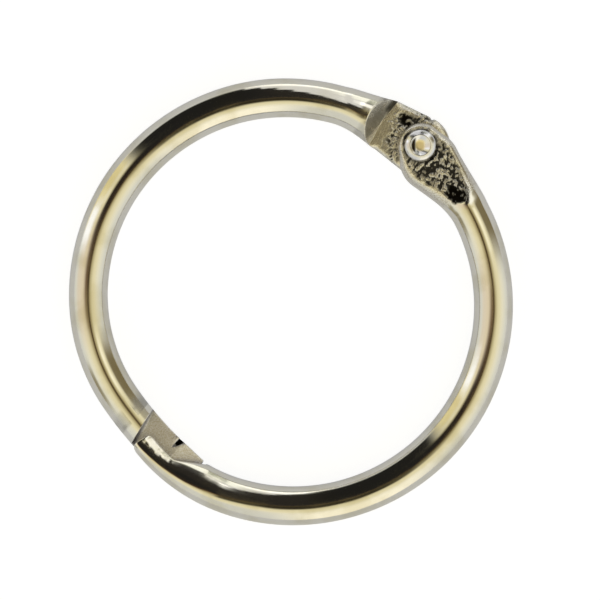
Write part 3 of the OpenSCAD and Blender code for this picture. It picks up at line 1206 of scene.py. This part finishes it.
@dataclass(frozen=True)
class NickelPlate:
    """Bright nickel plate over drawn steel wire, tumbled after pressing.

    It gives the eye a warm mirror with soft ripples and hair-fine drawing lines,
    dull and pitted where the press met it, and satin grey where it was sheared.
    Each part of it has a colour and a roughness: plain, clouded, pressed, sheared,
    grained, and the dark mark that holds painted shade in dents, hollows, notches and gaps, with a patchy dull film.
    """

    name: str = "bright_nickel_plate_on_drawn_steel"
    colour: str = "#e5e3dc"
    cloud_colour: str = "#d9d5c6"
    pressed_colour: str = "#e3e1da"
    sheared_colour: str = "#e6e6ee"
    grain_colour: str = "#bdb6ab"
    # Near black: paints shade into dents, hollows, notches and gaps, and gives a patchy dull film.
    shade_and_film_colour: str = "#12100c"
    roughness: float = 0.085
    pressed_roughness: float = 0.2
    sheared_roughness: float = 0.4
    shade_and_film_roughness: float = 0.5

    def make(self) -> bpy.types.Material:
        """Build the material.

        Returns:
            The material, whose patterns are in the piece's own mm.
        """
        material, tree = empty_material(self.name)
        marks = {
            mark: add_node(tree, "ShaderNodeAttribute", attribute_name=mark).outputs["Fac"]
            for mark in ("pressed", "sheared", "shade_and_film")
        }
        place = add_node(tree, "ShaderNodeTexCoord").outputs["Object"]
        along = add_node(tree, "ShaderNodeUVMap", uv_map="along_round").outputs["UV"]
        # Clouds about 2.5 mm across, where the plate is a little yellower and duller.
        cloud = add_node(tree, "ShaderNodeTexNoise", {"Vector": place, "Scale": 400.0, "Detail": 3.0}).outputs[0]
        cloud = add_node(tree, "ShaderNodeMapRange", {"Value": cloud, "From Min": 0.42, "From Max": 0.68},
                         interpolation_type="SMOOTHSTEP").outputs[0]
        # Pressing and shearing leave a grain of about 0.08 mm.
        grain = add_node(tree, "ShaderNodeTexNoise", {"Vector": place, "Scale": 12000.0, "Detail": 4.0}).outputs[0]
        depth = add_node(tree, "ShaderNodeMath", {0: marks["pressed"], 1: marks["sheared"]}, operation="MAXIMUM")
        grained = add_node(tree, "ShaderNodeMath", {0: grain, 1: depth.outputs[0]}, operation="MULTIPLY").outputs[0]
        patchy = add_node(tree, "ShaderNodeMapRange", {"Value": grained, "From Min": 0.4, "From Max": 0.7}).outputs[0]
        # The last colour mix is painted shade near black, with a patchy dull film on the pressed faces.
        colour: bpy.types.NodeSocket | tuple = linear(self.colour)
        for mask, tint in ((cloud, self.cloud_colour), (marks["pressed"], self.pressed_colour),
                           (marks["sheared"], self.sheared_colour), (patchy, self.grain_colour),
                           (marks["shade_and_film"], self.shade_and_film_colour)):
            colour = add_node(tree, "ShaderNodeMix", {0: mask, 6: colour, 7: linear(tint)}, data_type="RGBA").outputs[2]
        rough: bpy.types.NodeSocket | float = self.roughness
        for mask, dull in ((cloud, self.roughness * 1.5), (marks["pressed"], self.pressed_roughness),
                           (marks["sheared"], self.sheared_roughness), (marks["shade_and_film"], self.shade_and_film_roughness)):
            rough = add_node(tree, "ShaderNodeMix", {0: mask, 2: rough, 3: dull}).outputs[0]
        # Drawing lines: hairs 0.15 mm across and 6 mm long, about ten times wider than real so that they show.
        stretch = add_node(tree, "ShaderNodeMapping", {"Vector": along, "Scale": (0.16, 6.5, 1.0)})
        hairs = add_node(tree, "ShaderNodeTexNoise", {"Vector": stretch.outputs[0], "Scale": 1.0, "Detail": 3.0})
        drawn = add_node(tree, "ShaderNodeBump", {"Height": hairs.outputs[0], "Strength": 0.2, "Distance": 0.00001})
        bump = add_node(tree, "ShaderNodeBump", {"Height": grained, "Strength": 0.6, "Distance": 0.00003,
                                                 "Normal": drawn.outputs[0]})
        finish_metal(tree, colour, rough, bump.outputs[0])
        return material


@dataclass(frozen=True)
class RivetNickel:
    """Nickel plate on a headed steel rivet: whiter than the bar, satin from tumbling, with a painted gold reflection
    and painted shade in its cup.
    """

    name: str = "nickel_plate_on_headed_rivet"
    colour: str = "#dfe0e6"
    # Painted light in the cup: a gold reflection in warm_colour, and shade in the dark colour after it.
    warm_colour: str = "#ede0b8"
    shade_and_film_colour: str = "#2a241b"
    roughness: float = 0.2
    cup_roughness: float = 0.34
    shade_and_film_roughness: float = 0.45

    def make(self) -> bpy.types.Material:
        """Build the material.

        Returns:
            The material, whose forming rings follow the rivet's own UV map.
        """
        material, tree = empty_material(self.name)
        warm = add_node(tree, "ShaderNodeAttribute", attribute_name="warm").outputs["Fac"]
        shade_and_film = add_node(tree, "ShaderNodeAttribute", attribute_name="shade_and_film").outputs["Fac"]
        colour: bpy.types.NodeSocket | tuple = linear(self.colour)
        rough: bpy.types.NodeSocket | float = self.roughness
        # These mixes paint the cup's gold reflection and its shade.
        for mask, tint, dull in ((warm, self.warm_colour, self.cup_roughness),
                                 (shade_and_film, self.shade_and_film_colour, self.shade_and_film_roughness)):
            colour = add_node(tree, "ShaderNodeMix", {0: mask, 6: colour, 7: linear(tint)}, data_type="RGBA").outputs[2]
            rough = add_node(tree, "ShaderNodeMix", {0: mask, 2: rough, 3: dull}).outputs[0]
        # Forming rings about 0.2 mm apart, very shallow.
        along = add_node(tree, "ShaderNodeUVMap", uv_map="along_round").outputs["UV"]
        stretch = add_node(tree, "ShaderNodeMapping", {"Vector": along, "Scale": (5.0, 0.8, 1.0)})
        rings = add_node(tree, "ShaderNodeTexNoise", {"Vector": stretch.outputs[0], "Scale": 1.0, "Detail": 2.0})
        bump = add_node(tree, "ShaderNodeBump", {"Height": rings.outputs[0], "Strength": 0.3, "Distance": 0.00001})
        finish_metal(tree, colour, rough, bump.outputs[0])
        return material


# --- The studio --------------------------------------------------------------


@dataclass(frozen=True)
class Card:
    """One pale card or dark flag of the tent, in degrees.

    Attributes:
        facing: Direction of its middle, anticlockwise from +X.
        half_wide: Half its width in that direction.
        low: Nearest that it comes to straight overhead.
        high: Furthest that it hangs from straight overhead.
        colour: What it sends to the ring.
        side_soft: Blur of its upright edges.
        end_soft: Blur of its upper and lower edges.
        strength: How fully it hides what is behind it.
    """

    facing: float
    half_wide: float
    low: float
    high: float
    colour: str
    side_soft: float = 4.0
    end_soft: float = 6.0
    strength: float = 1.0

    def hang(self, tree: bpy.types.NodeTree, side: bpy.types.NodeSocket, down: bpy.types.NodeSocket,
             behind: bpy.types.NodeSocket) -> bpy.types.NodeSocket:
        """Add the card's nodes in front of what is hung already.

        Its mask is the product of three smooth steps: in the turn away from its
        middle, above its upper edge and below its lower one.

        Args:
            tree: The world's node tree.
            side: Direction about the vertical, in radians.
            down: Angle down from overhead, in radians.
            behind: Colour so far.

        Returns:
            The colour with the card in it.
        """
        turn = add_node(tree, "ShaderNodeMath", {0: side, 1: math.radians(self.facing)}, operation="SUBTRACT")
        turn = add_node(tree, "ShaderNodeMath", {0: turn.outputs[0], 1: math.pi, 2: -math.pi}, operation="WRAP")
        turn = add_node(tree, "ShaderNodeMath", {0: turn.outputs[0]}, operation="ABSOLUTE")
        mask: float | bpy.types.NodeSocket = self.strength
        edges = ((turn.outputs[0], self.half_wide, self.side_soft, -1), (down, self.low, self.end_soft, 1),
                 (down, self.high, self.end_soft, -1))
        for value, edge, soft, sign in edges:
            start, stop = math.radians(edge - sign * soft), math.radians(edge + sign * soft)
            step = add_node(tree, "ShaderNodeMapRange", {"Value": value, "From Min": start, "From Max": stop},
                            interpolation_type="SMOOTHSTEP")
            mask = add_node(tree, "ShaderNodeMath", {0: step.outputs[0], 1: mask}, operation="MULTIPLY").outputs[0]
        hung = add_node(tree, "ShaderNodeMix", {0: mask, 6: behind, 7: linear(self.colour)}, data_type="RGBA")
        return hung.outputs[2]


class Studio:
    """Camera, pale floor and soft light.

    The camera sees the floor and the far ground as plain white. The metal mirrors
    the same floor a little greyer, and a tent of pale cards and dark flags, as it
    does on a product table. The strip lights show in the metal only.

    Attributes:
        dome: The tent's own colour by the angle down from overhead: a dark port, a golden ring, then cream.
        cards: The cards and flags, each hung in front of those before it.
        tent_strength: Brightness of the tent.
        strip_radiance: Brightness of the strip lights.
        strip_colour: Their colour.
        strip_ends: X of the two ends of their row, in m.
        strip_back: Y of the row, in m.
        strip_foot: Height of their lower ends, in m.
        strip_high: Length of the first and the last one, in m.
        strip_count: How many there are.
        view_wide: Width seen at the ring's middle plane, in mm.
        aim: Point under the camera, in mm.
        distance: Height of the camera over the middle plane, in m.
        sensor: Width of its sensor, in mm.
        floor_half: Half the floor's width, in m.
        floor_matt: The mirrored floor's own colour.
        floor_fill: Light that it adds.
        floor_seen: The seen floor's own colour.
        floor_glow: Light that it adds.
    """

    dome: tuple[tuple[float, str], ...] = (
        (0.0, "#3c3022"), (2.5, "#5b4c33"), (6.0, "#92845e"), (13.0, "#b8ac84"), (22.0, "#d6cca5"),
        (34.0, "#e0d7b2"), (52.0, "#e2ddc6"), (72.0, "#d6d5c9"), (90.0, "#c8c8c2"))
    cards: tuple[Card, ...] = (
        Card(278, 34, -20, 20, "#2a2519", side_soft=14, end_soft=6),
        Card(288, 20, 46, 100, "#fbf4dc", side_soft=10, end_soft=14),
        Card(243, 22, 45, 100, "#cbcac0", side_soft=12, end_soft=9),
        Card(28, 13, 42, 100, "#756a4d", side_soft=8, end_soft=8),
        Card(24, 9, 18, 31, "#fbf4d6", side_soft=5, end_soft=6),
        Card(173, 14, -20, 25, "#6d563c", side_soft=10, end_soft=10),
        Card(148, 20, -20, 27, "#271f19", side_soft=10, end_soft=8),
        Card(150, 11, 48, 100, "#dccf9c", side_soft=4, end_soft=10),
        Card(176, 16, 20, 70, "#d2c0aa", side_soft=10, end_soft=12, strength=0.6),
        Card(160, 6, 46, 84, "#ffffff", side_soft=4, end_soft=10),
        Card(84, 23, -20, 76, "#272420", side_soft=6, end_soft=7),
        Card(117, 21, -20, 83, "#1d1c1a", side_soft=4, end_soft=5),
        Card(52, 7, 26, 95, "#fffdf4", side_soft=4, end_soft=7),
        Card(64, 7, 33, 52, "#fffdf4", side_soft=4, end_soft=5),
        Card(67, 8, 58, 100, "#a4a594", side_soft=4, end_soft=5),
        Card(208, 6, 68, 100, "#8f8870", side_soft=4, end_soft=6),
    )
    tent_strength: float = 1.28
    strip_radiance: float = 0.78
    strip_colour: str = "#fffdf6"
    strip_ends: tuple[float, float] = (-0.005, 0.0095)
    strip_back: float = 0.024
    strip_foot: float = 0.003
    strip_high: tuple[float, float] = (0.002, 0.042)
    strip_count: int = 8
    view_wide: float = 41.4
    aim: tuple[float, float] = (0.598, 0.095)
    distance: float = 0.30
    sensor: float = 36.0
    floor_half: float = 2.0
    floor_matt: str = "#d4d4d4"
    floor_fill: str = "#737a8c"
    floor_seen: str = "#95979c"
    floor_glow: float = 0.86

    def camera(self) -> None:
        """Look straight down on the ring, framed as wide as view_wide at its middle plane."""
        data = bpy.data.cameras.new("camera")
        data.sensor_width = self.sensor
        data.lens = self.sensor * self.distance / (self.view_wide * MM)
        data.clip_start, data.clip_end = 0.01, 20.0
        camera = bpy.data.objects.new("camera", data)
        camera.location = Vector((self.aim[0] * MM, self.aim[1] * MM, self.distance + RingSizes.bar_r * MM))
        bpy.context.scene.collection.objects.link(camera)
        bpy.context.scene.camera = camera

    def floor(self) -> bpy.types.Object:
        """A wide pale floor at the ring's underside.

        Returns:
            The floor.
        """
        half = self.floor_half
        mesh = bpy.data.meshes.new("floor")
        mesh.from_pydata([(-half, -half, 0), (half, -half, 0), (half, half, 0), (-half, half, 0)], [], [(0, 1, 2, 3)])
        floor = bpy.data.objects.new("floor", mesh)
        bpy.context.scene.collection.objects.link(floor)
        material, tree = empty_material("pale_floor")
        seen = add_node(tree, "ShaderNodeLightPath").outputs["Is Camera Ray"]
        matt = add_node(tree, "ShaderNodeBsdfDiffuse", {"Color": linear(self.floor_matt)})
        fill = add_node(tree, "ShaderNodeEmission", {"Color": linear(self.floor_fill)})
        mirrored = add_node(tree, "ShaderNodeAddShader", {0: matt.outputs[0], 1: fill.outputs[0]})
        white = add_node(tree, "ShaderNodeBsdfDiffuse", {"Color": linear(self.floor_seen)})
        glow = add_node(tree, "ShaderNodeEmission", {"Strength": self.floor_glow})
        lit = add_node(tree, "ShaderNodeAddShader", {0: white.outputs[0], 1: glow.outputs[0]})
        mix = add_node(tree, "ShaderNodeMixShader", {0: seen, 1: mirrored.outputs[0], 2: lit.outputs[0]})
        add_node(tree, "ShaderNodeOutputMaterial", {"Surface": mix.outputs[0]})
        mesh.materials.append(material)
        return floor

    def strips(self) -> None:
        """A row of upright strip lights close beyond the ring, which only the metal near them mirrors.

        Their height rises from the first to the last as the share of the way to the power 1.6.
        """
        first, last = self.strip_ends
        wide = (last - first) / self.strip_count
        for number in range(self.strip_count):
            share = (number + 0.5) / self.strip_count
            high = self.strip_high[0] + (self.strip_high[1] - self.strip_high[0]) * share**1.6
            data = bpy.data.lights.new(f"strip_{number}", "AREA")
            data.shape = "RECTANGLE"
            data.size, data.size_y = wide, high
            data.energy = self.strip_radiance * math.pi * wide * high
            data.color = linear(self.strip_colour)[:3]
            strip = bpy.data.objects.new(f"strip_{number}", data)
            strip.location = Vector((first + share * (last - first), self.strip_back, self.strip_foot + high / 2))
            strip.rotation_euler = (-math.pi / 2, 0, 0)
            strip.visible_camera = False
            strip.visible_diffuse = False
            bpy.context.scene.collection.objects.link(strip)

    def light(self) -> None:
        """A pale tent all round with its cards and flags, which lights the ring and which its metal mirrors.

        The camera itself sees plain white there.
        """
        world = bpy.data.worlds.new("studio")
        bpy.context.scene.world = world
        world.use_nodes = True
        tree = world.node_tree
        tree.nodes.clear()
        way = add_node(tree, "ShaderNodeTexCoord").outputs["Generated"]
        axis = add_node(tree, "ShaderNodeSeparateXYZ", {0: way}).outputs
        down = add_node(tree, "ShaderNodeMath", {0: axis[2]}, operation="ARCCOSINE").outputs[0]
        side = add_node(tree, "ShaderNodeMath", {0: axis[1], 1: axis[0]}, operation="ARCTAN2").outputs[0]
        tilt = add_node(tree, "ShaderNodeMath", {0: down, 1: math.pi / 2}, operation="DIVIDE")
        ramp = add_node(tree, "ShaderNodeValToRGB", {0: tilt.outputs[0]})
        while len(ramp.color_ramp.elements) < len(self.dome):
            ramp.color_ramp.elements.new(0.5)
        for element, (angle, colour) in zip(ramp.color_ramp.elements, self.dome):
            element.position = angle / 90
            element.color = linear(colour)
        colour = ramp.outputs[0]
        for card in self.cards:
            colour = card.hang(tree, side, down, colour)
        tent = add_node(tree, "ShaderNodeBackground", {"Color": colour, "Strength": self.tent_strength})
        plain = add_node(tree, "ShaderNodeBackground", {"Color": (1, 1, 1, 1), "Strength": 1.0})
        seen = add_node(tree, "ShaderNodeLightPath").outputs["Is Camera Ray"]
        mix = add_node(tree, "ShaderNodeMixShader", {0: seen, 1: tent.outputs[0], 2: plain.outputs[0]})
        add_node(tree, "ShaderNodeOutputWorld", {"Surface": mix.outputs[0]})
        bpy.context.scene.view_settings.view_transform = "Standard"


class Part(Enum):
    """The CAD nodes that the looks stand for, with the bodies they move with and their material slots."""

    LEFT = ("left_half_ring", "left_half", "nickel_plate")
    RIGHT = ("right_half_ring", "right_half", "nickel_plate")
    RIVET = ("hinge_rivet", "left_half", "rivet_nickel")


def dress(obj: bpy.types.Object, material: bpy.types.Material, part: Part) -> None:
    """Give a piece its material and its body, and hide the CAD node that it stands for.

    Args:
        obj: The piece.
        material: Its material.
        part: The CAD node that it replaces.
    """
    node, body, slot = part.value
    obj.data.materials.append(material)
    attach(obj, body)
    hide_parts(node)
    LOG.info("%s: %d faces, for %s on %s", obj.name, len(obj.data.polygons), node, body)


def main() -> None:
    """Build the studio, the two half rings and the rivet."""
    logging.basicConfig(level=logging.INFO, format="%(name)s: %(message)s")
    studio = Studio()
    studio.camera()
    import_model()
    sizes = RingSizes()
    nickel = NickelPlate().make()
    dress(LeftHalf(sizes).build(), nickel, Part.LEFT)
    dress(RightHalf(sizes).build(), nickel, Part.RIGHT)
    dress(Rivet(sizes).build(), RivetNickel().make(), Part.RIVET)
    studio.floor()
    studio.light()
    studio.strips()


if __name__ == "__main__":
    main()
